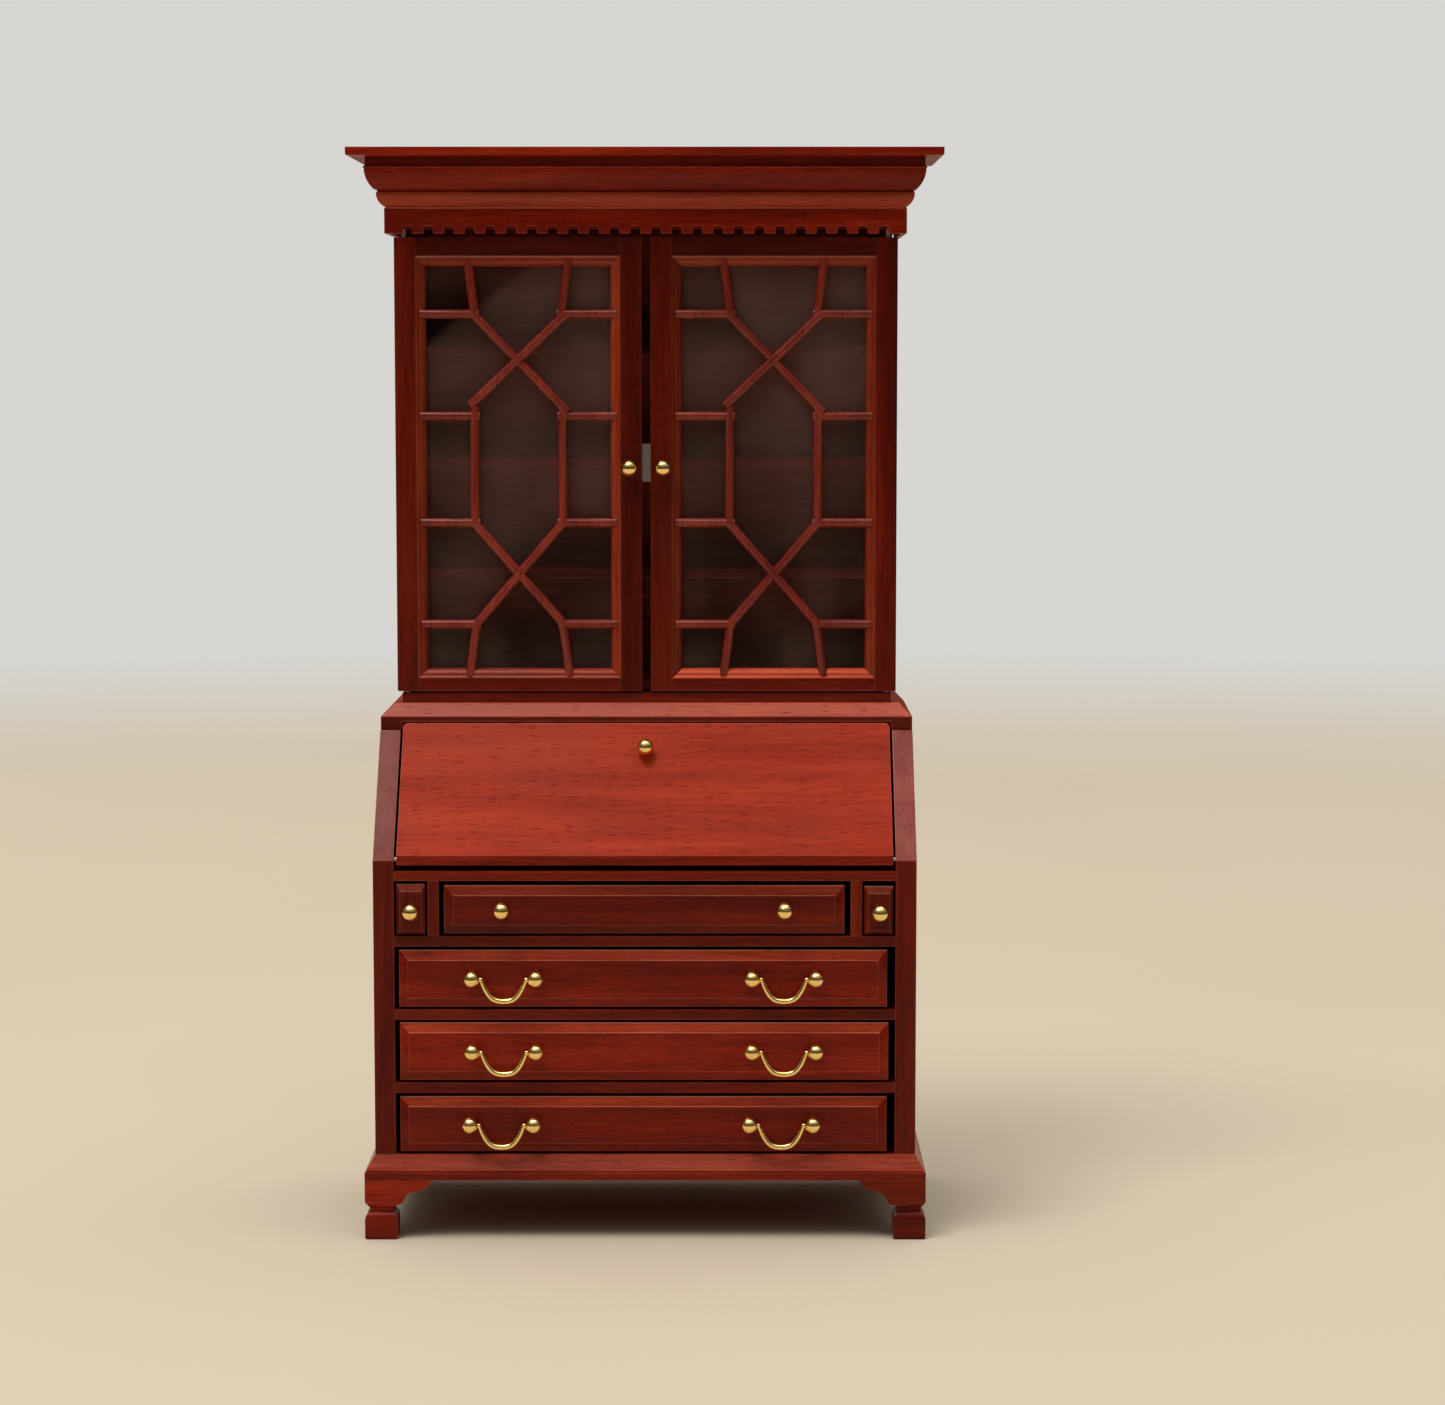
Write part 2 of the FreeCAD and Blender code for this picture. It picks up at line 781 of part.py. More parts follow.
def dentil_strip():
    """Frieze strip with a row of square teeth, round-topped between, on three sides."""
    profile = [(0, dentil_bottom), (dentil_thickness, dentil_bottom),
               (dentil_thickness, dentil_top), (0, dentil_top)]
    front, right, _ = three_sided_run(profile, core_half_width, core_front, case_depth)
    w = dentil_notch_width / 2
    r = dentil_corner_radius
    low = dentil_bottom - spare
    high = dentil_bottom + dentil_notch_height
    k = r * (1 - math.sqrt(0.5))
    outline = [(-w, low), (-w, high - r), ("via", -w + k, high - k), (-w + r, high),
               (w - r, high), ("via", w - k, high - k), (w, high - r), (w, low)]
    front_notches = []
    for i in range(front_notch_count):
        x = (i - (front_notch_count - 1) / 2) * dentil_pitch
        moved = [moved_point(p, lambda a, z: (a + x, z)) for p in outline]
        front_notches.append(prism_y(moved, frieze_front - spare, core_front + spare))
    side_notches = []
    for i in range(side_notch_count):
        y = frieze_front + (i + 1) * dentil_pitch
        moved = [moved_point(p, lambda a, z: (a + y, z)) for p in outline]
        side_notches.append(prism_x(moved, core_half_width - spare, frieze_half_width + spare))
    front = front.cut(Part.makeCompound(front_notches))
    right = right.cut(Part.makeCompound(side_notches))
    return Part.makeCompound([front, right, mirrored(right)])


def frieze_frame():
    """Hidden ring of boards that the crown moulding is planted on."""
    z = (hutch_top_top, cap_bottom)
    t = frieze_board_thickness
    front = box((-core_half_width, core_half_width), (core_front, core_front + t), z)
    back = box((-core_half_width, core_half_width), (case_depth - t, case_depth), z)
    side = box((core_half_width - t, core_half_width), (core_front + t, case_depth - t), z)
    return Part.makeCompound([front, back, side, mirrored(side)])


def crown_moulding():
    """Crown of the cornice, planted on the frieze boards between the dentils and the cap."""
    outline = [moved_point(p, lambda a, z: (a, z + dentil_top)) for p in crown_profile]
    profile = [(0, dentil_top)] + outline + [(0, cap_bottom)]
    return Part.makeCompound(list(three_sided_run(profile, core_half_width, core_front, case_depth)))


def cornice_cap():
    front = core_front - (cap_half_width - core_half_width)
    w = cap_half_width
    board = box((-w, w), (front, case_depth), (cap_bottom, cap_top))
    lower_edges = []
    for edge in board.Edges:
        b = edge.BoundBox
        if b.ZMax < cap_bottom + slack and b.YMin < case_depth - slack:
            lower_edges.append(edge)
    return board.makeFillet(cap_lower_round, lower_edges)


# ---------------------------------------------------------------- glazed doors

def door_frame():
    """Right-hand door: two stiles and two rails; the hinge stile is rounded to clear the carcass."""
    y = (door_front, door_front + door_thickness)
    z = (door_bottom, door_top)
    hinge_x = (door_outer_edge - stile_width, door_outer_edge)
    meet_x = (door_inner_edge, door_inner_edge + stile_width)
    rail_x = (meet_x[1], hinge_x[0])
    hinge_stile = box(hinge_x, y, z)
    for depth, radius in ((y[1], hinge_back_round), (y[0], hinge_front_round)):
        corner = []
        for edge in hinge_stile.Edges:
            b = edge.BoundBox
            upright = b.XMin > door_outer_edge - slack and b.ZLength > spare
            if upright and abs(b.YMin - depth) < slack and abs(b.YMax - depth) < slack:
                corner.append(edge)
        hinge_stile = hinge_stile.makeFillet(radius, corner)
    for low in (door_bottom - spare, door_top - door_pin_depth):
        hole = rod(V(door_pin_x, door_pin_y, low), AXIS_Z, door_pin_depth + spare,
                   pin_radius + pin_clearance)
        hinge_stile = hinge_stile.cut(hole)
    meet_stile = box(meet_x, y, z)
    low_rail = box(rail_x, y, (door_bottom, door_bottom + bottom_rail_width))
    top_rail = box(rail_x, y, (door_top - top_rail_width, door_top))
    return Part.makeCompound([hinge_stile, meet_stile, low_rail, top_rail])


def sight_moulding():
    """Rounded bead mitred round the inside of the door frame, in front of the pane."""
    profile = [(0, -pane_front)] + sight_profile + [(sight_width, -pane_front)]
    return Part.makeCompound(mitred_ring(glass_x, glass_z, profile, door_front))


def pane():
    y0 = door_front + pane_front
    return box(glass_x, (y0, y0 + pane_thickness), glass_z)


def glazing_bar(start, end, rise=0.0):
    """One round-topped bar, from start to end on the pane, run on at both ends."""
    run = V(end[0] - start[0], 0, end[1] - start[1])
    w = bar_width / 2
    top = bar_height + rise
    right_half = [(w * share, top - drop) for share, drop in bar_section]
    left_half = [(-across, out) for across, out in reversed(right_half[:-1])]
    section = [(-w, 0), (w, 0)] + right_half + left_half
    bar = prism_x([(-out, across) for across, out in section], -w, run.Length + w)
    bar.rotate(V(0, 0, 0), AXIS_Y, -math.degrees(math.atan2(run.z, run.x)))
    bar.translate(V(start[0], door_front + pane_front, start[1]))
    return bar


def crossing_bar(upright_end, splay_end, shifts, rise=0.0):
    """A bar of a crossing, with each end moved out of true by its own shift."""
    start, end = [(point[0] + shift[0], point[1] + shift[1])
                  for point, shift in zip((upright_end, splay_end), shifts)]
    return glazing_bar(start, end, rise)


def glazing_bars(bead):
    """Lattice of a long hexagon between two crossings, its ends lapping over the bead."""
    sight_half = (glass_x[1] - glass_x[0]) / 2 - sight_width
    low = glass_z[0] + sight_width
    high = glass_z[1] - sight_width
    heights = [low + (high - low) * share for share in bar_level_shares]
    reach_half = sight_half + bar_side_lap
    reach_z = (low - bar_end_lap, high + bar_end_lap)
    u = bar_upright_offset
    v = bar_vertex_offset
    bars = []
    for side in (LEFT, RIGHT):
        bars.append(glazing_bar((side * bar_splay_offset, reach_z[0]), (side * v, heights[0])))
        bars.append(glazing_bar((side * v, heights[3]), (side * bar_splay_offset, reach_z[1])))
        upright_top = heights[2] + bar_upright_run_on
        bars.append(glazing_bar((side * u, heights[1]), (side * u, upright_top)))
        for height in heights:
            bars.append(glazing_bar((side * reach_half, height), (side * v, height)))
    bars.append(crossing_bar((-u, heights[2]), (v, heights[3]), upper_over_shifts, bar_over_rise))
    bars.append(crossing_bar((u, heights[2]), (-v, heights[3]), upper_under_shifts))
    bars.append(crossing_bar((-u, heights[1]), (v, heights[0]), lower_over_shifts, bar_over_rise))
    bars.append(crossing_bar((u, heights[1]), (-v, heights[0]), lower_under_shifts))
    lattice = bars[0].multiFuse(bars[1:])
    reach = box((-reach_half, reach_half), (door_front - bar_height, door_front + pane_front), reach_z)
    return lattice.common(reach).cut(bead).removeSplitter()


def door_knob():
    return ball_knob(V(door_inner_edge + door_knob_inset, door_front, door_knob_height), V(0, -1, 0))


def door_pins():
    """Four steel pins, standing in the plinth and hanging from the bookcase top."""
    def pin(low, high):
        return rod(V(door_pin_x, door_pin_y, low), AXIS_Z, high - low, pin_radius)

    lower = pin(plinth_top - door_pin_depth, door_bottom + door_pin_depth - door_pin_end_gap)
    upper = pin(door_top - door_pin_depth + door_pin_end_gap, hutch_top_bottom + door_pin_depth)
    return Part.makeCompound([lower, mirrored(lower), upper, mirrored(upper)])


def with_pin_sockets(board):
    """The same board, bored for the two door pins that it holds."""
    for side in (LEFT, RIGHT):
        for low in (plinth_top - door_pin_depth, hutch_top_bottom):
            hole = rod(V(side * door_pin_x, door_pin_y, low), AXIS_Z, door_pin_depth, pin_radius)
            board = board.cut(hole)
    return board


# ---------------------------------------------------------------- write every node

os.makedirs("parts", exist_ok=True)

right_side = case_side()
save("side_right", right_side)
save("side_left", mirrored(right_side))
save("case_back", box((-case_inner, case_inner), (case_back_front, case_depth),
                      (foot_height, desk_top_bottom)))
case_floor, drawer_dividers, writing_bed = case_boards()
save("case_bottom", case_floor)
save("drawer_dividers", drawer_dividers)
save("writing_bed", writing_bed)
save("lopper_partitions", pair(lopper_partition()))
save("base_moulding", base_moulding())
save("front_feet", pair(foot(True)))
save("rear_feet", pair(foot(False)))
save("desk_top", desk_top())
save("pigeonholes", pigeonholes())

save("fall_panel", fall_panel())
save("fall_pins", fall_pins())
save("fall_knob", fall_knob())

save("drawer_knobs_1", small_drawer_knobs())
for number in (1, 2, 3, 4):
    save(f"drawer_front_{number}", drawer_front(number))
    save(f"drawer_box_{number}", drawer_box(number))
one_bail = bail()
for number in (2, 3, 4):
    save(f"handle_posts_{number}", handle_posts(number))
    for side, middle in zip(("left", "right"), handle_middles(number)):
        placed = one_bail.copy()
        placed.translate(V(middle, field_front - post_reach, handle_height(number)))
        save(f"bail_{number}_{side}", placed)

save("lopper_right", lopper(right_lopper_top_gap))
save("lopper_left", mirrored(lopper(left_lopper_top_gap)))
save("lopper_knob_right", lopper_knob(right_lopper_top_gap, right_lopper_knob_shift))
save("lopper_knob_left", mirrored(lopper_knob(left_lopper_top_gap, left_lopper_knob_shift)))

save("hutch_plinth", with_pin_sockets(hutch_plinth()))
right_hutch_side = hutch_side()
save("hutch_side_right", right_hutch_side)
save("hutch_side_left", mirrored(right_hutch_side))
save("hutch_floor", hutch_floor())
save("hutch_back", hutch_back())
save("hutch_top", with_pin_sockets(hutch_top()))
save("shelves", shelves())
save("catch_plate", catch_plate())
save("dentil_strip", dentil_strip())
save("frieze_frame", frieze_frame())
save("crown_moulding", crown_moulding())
save("cornice_cap", cornice_cap())

right_frame = door_frame()
right_sight = sight_moulding()
right_pane = pane()
right_knob = door_knob()
pane_middle = (glass_x[0] + glass_x[1]) / 2
centred_bead = right_sight.copy()
centred_bead.translate(V(-pane_middle, 0, 0))
centred_bars = glazing_bars(centred_bead)
save("door_right_frame", right_frame)
save("door_left_frame", mirrored(right_frame))
save("door_right_sight_moulding", right_sight)
save("door_left_sight_moulding", mirrored(right_sight))
save("door_right_pane", right_pane)
save("door_left_pane", mirrored(right_pane))
save("door_right_knob", right_knob)
save("door_left_knob", mirrored(right_knob))
for door, side in (("door_left", LEFT), ("door_right", RIGHT)):
    bars = centred_bars.copy()
    bars.translate(V(side * pane_middle, 0, 0))
    save(door + "_glazing_bars", bars)
save("door_pins", door_pins())
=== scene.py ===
import json
import math
import random

import bmesh
import bpy
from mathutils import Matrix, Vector

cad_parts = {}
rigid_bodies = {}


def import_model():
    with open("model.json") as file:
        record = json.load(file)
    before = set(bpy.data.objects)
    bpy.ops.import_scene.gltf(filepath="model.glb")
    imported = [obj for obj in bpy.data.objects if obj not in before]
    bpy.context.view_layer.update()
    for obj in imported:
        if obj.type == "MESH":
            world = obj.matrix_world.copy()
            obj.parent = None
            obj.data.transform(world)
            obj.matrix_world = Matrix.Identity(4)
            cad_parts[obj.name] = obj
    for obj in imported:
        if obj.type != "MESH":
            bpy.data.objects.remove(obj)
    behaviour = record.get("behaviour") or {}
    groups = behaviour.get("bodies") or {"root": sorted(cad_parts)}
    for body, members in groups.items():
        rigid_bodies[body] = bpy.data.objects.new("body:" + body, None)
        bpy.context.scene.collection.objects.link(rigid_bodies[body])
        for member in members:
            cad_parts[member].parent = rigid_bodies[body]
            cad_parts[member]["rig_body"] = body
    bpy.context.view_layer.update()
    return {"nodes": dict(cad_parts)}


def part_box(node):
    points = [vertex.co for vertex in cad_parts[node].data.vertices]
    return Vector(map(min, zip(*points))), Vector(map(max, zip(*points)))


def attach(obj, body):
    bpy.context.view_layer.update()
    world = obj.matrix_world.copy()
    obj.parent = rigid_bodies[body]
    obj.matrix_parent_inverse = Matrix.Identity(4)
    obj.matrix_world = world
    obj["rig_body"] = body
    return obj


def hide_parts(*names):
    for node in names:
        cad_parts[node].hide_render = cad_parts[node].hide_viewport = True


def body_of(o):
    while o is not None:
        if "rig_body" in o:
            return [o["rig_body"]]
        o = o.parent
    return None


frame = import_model()

# Dolls' house secretary bookcase in worn mahogany: materials, softened wood, light and camera.
# The wood is rebuilt from the frame's own solids; brass, steel and panes keep their CAD meshes.

MM = 0.001
SEED = 7
# Corners nearer than WELD are one, and a point this far INSIDE a face is in the face's own solid
WELD = 0.002 * MM
INSIDE = 0.01 * MM

# Faces within FLAT of each other are joined, outward edges past HARD are rounded, and edges
# past SHARP keep a crease in the shading
FLAT = math.radians(0.6)
HARD = math.radians(33)
SHARP = math.radians(38)
EDGE_ROUNDNESS = 0.62
EDGE_SEGMENTS = 2
NORMAL_WEIGHT = 80

# Wood: how far apart the runs of grain start, how much solids differ in tone, and the pores
GRAIN_REACH = 400
TONE_SPREAD = 0.05
PORE_SHARE = 0.5
PORE_STAIN = (0.02, 0.004, 0.003, 1.0)

# Places on the object, in millimetres
DOOR_STILE = 3.7
BOARD_STEP = 4
SMALL_OVOLO_TOP = 180.5
FASCIA_BOTTOM = 185.0

# How far upwards a face has to look, as the height of its normal, to count as each of these
LEANING = 0.15
DUSTY_SHEEN = 0.25
FALL_FACE = 0.3
UPPER_EDGE = 0.35
LEVEL_EDGE = 0.75
LEVEL = 0.8
# A face looks forwards when its normal's depth is this or less
FORWARDS = -0.2

# ---------------------------------------------------------------- camera, light and floor

CAMERA_HEIGHT = 151.18 * MM
CAMERA_BACK = 613.1 * MM
CAMERA_SIDE = 13.37 * MM
CAMERA_PITCH = math.radians(5.59)
FOCAL_PIXELS = 3478.0
FRAME_WIDTH = 1445.0
SENSOR = 36.0


def make_camera():
    data = bpy.data.cameras.new("camera")
    data.sensor_width = SENSOR
    data.lens = SENSOR * FOCAL_PIXELS / FRAME_WIDTH
    data.clip_start = 0.01
    data.clip_end = 50
    camera = bpy.data.objects.new("camera", data)
    camera.location = (CAMERA_SIDE, -CAMERA_BACK, CAMERA_HEIGHT)
    camera.rotation_euler = (math.pi / 2 - CAMERA_PITCH, 0, 0)
    bpy.context.scene.collection.objects.link(camera)
    bpy.context.scene.camera = camera


def area_light(name, place, target, size, watts, colour):
    """A square lamp at a place, aimed at a target."""
    data = bpy.data.lights.new(name, "AREA")
    data.shape = "SQUARE"
    data.size = size
    data.energy = watts
    data.color = colour
    lamp = bpy.data.objects.new(name, data)
    lamp.location = place
    aim = Vector(target) - Vector(place)
    lamp.rotation_euler = aim.to_track_quat("-Z", "Y").to_euler()
    bpy.context.scene.collection.objects.link(lamp)


# ---------------------------------------------------------------- node helpers

class Tree:
    """Short calls for building a node tree."""

    def __init__(self, tree):
        self.tree = tree
        tree.nodes.clear()

    def add(self, kind, inputs=None, **settings):
        made = self.tree.nodes.new(kind)
        for name, value in settings.items():
            setattr(made, name, value)
        for name, value in (inputs or {}).items():
            self.put(made.inputs[name], value)
        return made

    def put(self, socket, value):
        if isinstance(value, bpy.types.NodeSocket):
            self.tree.links.new(value, socket)
        else:
            socket.default_value = value

    def math(self, operation, a, b=0.0):
        return self.add("ShaderNodeMath", {0: a, 1: b}, operation=operation).outputs[0]

    def scaled(self, vector, factors):
        made = self.add("ShaderNodeVectorMath", {0: vector, 1: factors}, operation="MULTIPLY")
        return made.outputs[0]

    def noise(self, vector, scale, detail=2.0, roughness=0.5, output="Fac"):
        made = self.add("ShaderNodeTexNoise", {"Vector": vector, "Scale": scale, "Detail": detail,
                                               "Roughness": roughness})
        return made.outputs[output]

    def remap(self, value, low, high, to_low=0.0, to_high=1.0, smooth=False):
        made = self.add("ShaderNodeMapRange", {"Value": value, "From Min": low, "From Max": high,
                                               "To Min": to_low, "To Max": to_high})
        if smooth:
            made.interpolation_type = "SMOOTHSTEP"
        return made.outputs["Result"]

    def mix(self, factor, a, b):
        """Blend two colours: sockets 6 and 7 in, 2 out."""
        return self.add("ShaderNodeMix", {0: factor, 6: a, 7: b}, data_type="RGBA").outputs[2]

    def ramp(self, value, stops):
        made = self.add("ShaderNodeValToRGB", {"Fac": value})
        elements = made.color_ramp.elements
        while len(elements) < len(stops):
            elements.new(0.5)
        for element, (place, colour) in zip(elements, stops):
            element.position = place
            element.color = colour
        return made.outputs["Color"]

    def bump(self, height, distance, strength):
        made = self.add("ShaderNodeBump", {"Height": height, "Distance": distance,
                                           "Strength": strength})
        return made.outputs["Normal"]


def new_material(name):
    material = bpy.data.materials.new(name)
    material.use_nodes = True
    return material, Tree(material.node_tree)


def finish_material(tree, shader):
    tree.add("ShaderNodeOutputMaterial", {"Surface": shader})


def rgb(r, g, b):
    return (r, g, b, 1.0)


# ---------------------------------------------------------------- materials

def wood(name, dark, middle, light, bloom, bloom_amount=0.35, pore_depth=0.55, gloss=0.34,
         coat=0.05, specular=0.20):
    """Stained and lacquered wood; the grain attribute runs along the fibres in millimetres."""
    material, t = new_material(name)
    grain = t.add("ShaderNodeAttribute", attribute_name="grain").outputs["Vector"]
    tone = t.add("ShaderNodeAttribute", attribute_name="tone").outputs["Fac"]
    wander = t.noise(t.scaled(grain, (0.03, 0.11, 0.11)), 1.0, 2.0, 0.5, "Color")
    pulled = t.scaled(wander, (0.0, 2.6, 2.6))
    line = t.add("ShaderNodeVectorMath", {0: grain, 1: pulled}, operation="ADD").outputs[0]
    bands = t.noise(t.scaled(line, (0.014, 0.19, 0.19)), 1.0, 2.0)
    fibres = t.noise(t.scaled(line, (0.09, 1.9, 1.9)), 1.0, 5.0, 0.62)
    blotches = t.noise(t.scaled(grain, (0.035, 0.075, 0.075)), 1.0, 3.0, 0.6)
    cells = t.add("ShaderNodeTexVoronoi", {"Vector": t.scaled(line, (0.30, 3.0, 3.0)),
                                           "Scale": 1.0, "Randomness": 1.0})
    dash = t.remap(cells.outputs["Distance"], 0.16, 0.30, 1.0, 0.0, True)
    draw = t.add("ShaderNodeSeparateColor", {0: cells.outputs["Color"]}).outputs[0]
    chosen = t.math("LESS_THAN", draw, PORE_SHARE)
    pores = t.math("MULTIPLY", dash, chosen)
    mottle = t.noise(t.scaled(grain, (1.1, 4.5, 4.5)), 1.0, 2.0, 0.7)
    figure = t.math("ADD", t.math("MULTIPLY", bands, 0.48), t.math("MULTIPLY", fibres, 0.36))
    figure = t.math("ADD", figure, t.math("MULTIPLY", mottle, 0.16))
    colour = t.ramp(figure, [(0.38, dark), (0.50, middle), (0.62, light)])
    cloud = t.remap(blotches, 0.44, 0.72, 0.0, bloom_amount, True)
    colour = t.mix(cloud, colour, bloom)
    stained = t.mix(t.math("MULTIPLY", pores, pore_depth), colour, PORE_STAIN)
    toned = t.add("ShaderNodeVectorMath", {0: stained, "Scale": tone}, operation="SCALE").outputs[0]
    rough = t.math("ADD", t.remap(fibres, 0.3, 0.7, gloss - 0.05, gloss + 0.07),
                   t.math("MULTIPLY", pores, 0.15))
    relief = t.math("SUBTRACT", t.math("MULTIPLY", fibres, 0.5), t.math("MULTIPLY", pores, 0.8))
    shader = t.add("ShaderNodeBsdfPrincipled", {
        "Base Color": toned, "Roughness": rough, "IOR": 1.5, "Specular IOR Level": specular,
        "Specular Tint": rgb(1.0, 0.66, 0.58),
        "Coat Weight": coat, "Coat Roughness": 0.22,
        "Normal": t.bump(relief, 0.05 * MM, 0.5)})
    finish_material(t, shader.outputs[0])
    return material


def brass():
    material, t = new_material("brass")
    place = t.add("ShaderNodeTexCoord").outputs["Object"]
    smear = t.noise(place, 900.0, 3.0, 0.6)
    scuff = t.noise(t.scaled(place, (1.0, 1.0, 5.0)), 3000.0, 2.0, 0.5)
    colour = t.mix(t.remap(smear, 0.4, 0.7, 0.0, 0.6), rgb(1.0, 0.73, 0.27), rgb(0.97, 0.62, 0.17))
    rough = t.remap(smear, 0.35, 0.7, 0.14, 0.25)
    shader = t.add("ShaderNodeBsdfPrincipled", {
        "Base Color": colour, "Metallic": 1.0, "Roughness": rough,
        "Normal": t.bump(scuff, 0.01 * MM, 0.25)})
    finish_material(t, shader.outputs[0])
    return material


def steel():
    material, t = new_material("steel")
    place = t.add("ShaderNodeTexCoord").outputs["Object"]
    streaks = t.noise(t.scaled(place, (1.0, 1.0, 12.0)), 700.0, 3.0, 0.6)
    colour = t.mix(streaks, rgb(0.50, 0.47, 0.42), rgb(0.68, 0.65, 0.58))
    shader = t.add("ShaderNodeBsdfPrincipled", {
        "Base Color": colour, "Metallic": 0.8, "Roughness": t.remap(streaks, 0.3, 0.7, 0.32, 0.5),
        "Normal": t.bump(streaks, 0.01 * MM, 0.4)})
    finish_material(t, shader.outputs[0])
    return material


# The wiped edge of the dust film on the left pane, and the heights that the film fades between
WIPE_SLOPE = 0.75
WIPE_START = -182.9 * MM
WIPE_BLUR = 1.5 * MM
FILM_BOTTOM = 105.0 * MM
FILM_TOP = 155.0 * MM


def acrylic():
    """Thin clear sheet with a faint haze of dust and rubbing."""
    material, t = new_material("clear_pane")
    place = t.add("ShaderNodeTexCoord").outputs["Object"]
    facing = t.add("ShaderNodeNewGeometry").outputs["Backfacing"]
    mirror = t.math("MULTIPLY", t.add("ShaderNodeFresnel", {"IOR": 1.49}).outputs[0],
                    t.math("SUBTRACT", 1.0, facing))
    clear = t.add("ShaderNodeBsdfTransparent", {"Color": rgb(0.90, 0.87, 0.87)}).outputs[0]
    glossy = t.add("ShaderNodeBsdfGlossy", {"Roughness": 0.06}).outputs[0]
    sheet = t.add("ShaderNodeMixShader", {0: mirror, 1: clear, 2: glossy}).outputs[0]
    cloud = t.noise(t.scaled(place, (1.0, 1.0, 0.8)), 45.0, 3.0, 0.6)
    specks = t.noise(place, 1400.0, 1.0, 0.5)
    across, _, height = t.add("ShaderNodeSeparateXYZ", {0: place}).outputs
    below_wipe = t.math("SUBTRACT", t.math("MULTIPLY", across, WIPE_SLOPE), height)
    film = t.remap(below_wipe, WIPE_START - WIPE_BLUR, WIPE_START + WIPE_BLUR, 0.0, 0.09, True)
    film = t.math("MULTIPLY", film, t.remap(height, FILM_BOTTOM, FILM_TOP, 0.1, 1.0, True))
    haze = t.math("ADD", t.remap(cloud, 0.40, 0.68, 0.0, 0.07, True), film)
    haze = t.math("ADD", haze, t.remap(specks, 0.72, 0.80, 0.0, 0.14))
    dust = t.add("ShaderNodeBsdfDiffuse", {"Color": rgb(0.42, 0.24, 0.20)}).outputs[0]
    finish_material(t, t.add("ShaderNodeMixShader", {0: haze, 1: sheet, 2: dust}).outputs[0])
    return material


def floor_material(reach):
    material, t = new_material("studio_floor")
    place = t.add("ShaderNodeTexCoord").outputs["Object"]
    away = t.add("ShaderNodeVectorMath", {0: place}, operation="LENGTH").outputs["Value"]
    soft = t.noise(place, 6.0, 2.0)
    colour = t.mix(soft, rgb(0.64, 0.55, 0.41), rgb(0.69, 0.60, 0.46))
    diffuse = t.add("ShaderNodeBsdfDiffuse", {"Color": colour}).outputs[0]
    open_air = t.add("ShaderNodeBsdfTransparent").outputs[0]
    fade = t.remap(away, 0.45 * reach, 0.98 * reach, 0.0, 1.0, True)
    finish_material(t, t.add("ShaderNodeMixShader", {0: fade, 1: diffuse, 2: open_air}).outputs[0])
    return material


def world_light():
    """Soft light from overhead, dark round the horizon; the camera itself sees a pale backdrop."""
    world = bpy.data.worlds.new("studio")
    bpy.context.scene.world = world
    world.use_nodes = True
    t = Tree(world.node_tree)
    direction = t.add("ShaderNodeTexCoord").outputs["Generated"]
    up = t.add("ShaderNodeSeparateXYZ", {0: direction}).outputs["Z"]
    height = t.remap(up, -1.0, 1.0)
    sky = t.ramp(height, [(0.0, rgb(0.16, 0.12, 0.07)), (0.49, rgb(0.06, 0.05, 0.035)),
                          (0.505, rgb(0.02, 0.019, 0.018)), (0.56, rgb(0.03, 0.03, 0.03)),
                          (0.66, rgb(0.10, 0.10, 0.098)), (0.85, rgb(0.30, 0.295, 0.29)),
                          (0.95, rgb(1.30, 1.28, 1.25)), (1.0, rgb(3.4, 3.35, 3.25))])
    lighting = t.add("ShaderNodeBackground", {"Color": sky, "Strength": 1.0}).outputs[0]
    backdrop = {"Color": rgb(0.68, 0.67, 0.645), "Strength": 1.0}
    seen = t.add("ShaderNodeBackground", backdrop).outputs[0]
    ray = t.add("ShaderNodeLightPath").outputs["Is Camera Ray"]
    both = t.add("ShaderNodeMixShader", {0: ray, 1: lighting, 2: seen}).outputs[0]
    t.add("ShaderNodeOutputWorld", {"Surface": both})


FLOOR_REACH = 1.3
FLOOR_SIDES = 96


def make_floor():
    mesh = bmesh.new()
    bmesh.ops.create_circle(mesh, cap_ends=True, segments=FLOOR_SIDES, radius=FLOOR_REACH)
    data = bpy.data.meshes.new("studio_floor")
    mesh.to_mesh(data)
    mesh.free()
    data.materials.append(floor_material(FLOOR_REACH))
    floor = bpy.data.objects.new("studio_floor", data)
    bpy.context.scene.collection.objects.link(floor)


# ---------------------------------------------------------------- wooden pieces

def solid_meshes(node, key):
    """The node's solids, each welded on its own. key tells solids that touch apart."""
    source = frame["nodes"][node].data
    groups = {}
    for face in source.polygons:
        inside = (face.center - face.normal * INSIDE) / MM
        groups.setdefault(key(inside), []).append(face)
    solids = []
    for name in sorted(groups, key=str):
        mesh = bmesh.new()
        for face in groups[name]:
            corners = [mesh.verts.new(source.vertices[i].co) for i in face.vertices]
            mesh.faces.new(corners)
        bmesh.ops.remove_doubles(mesh, verts=mesh.verts, dist=WELD)
        bmesh.ops.dissolve_degenerate(mesh, edges=mesh.edges, dist=WELD / 2)
        solids.append((name, mesh))
    return solids


def soften(mesh, width):
    """Flat areas become single faces and hard outward edges get a small round."""
    bmesh.ops.dissolve_limit(mesh, angle_limit=FLAT, verts=mesh.verts, edges=mesh.edges)
    mesh.normal_update()
    if not width:
        return set()
    hard = [e for e in mesh.edges
            if len(e.link_faces) == 2 and e.is_convex and e.calc_face_angle(0) > HARD]
    made = bmesh.ops.bevel(mesh, geom=hard, offset=width * MM, segments=EDGE_SEGMENTS,
                           profile=EDGE_ROUNDNESS, affect="EDGES", clamp_overlap=True, material=-1)
    return set(made["faces"])


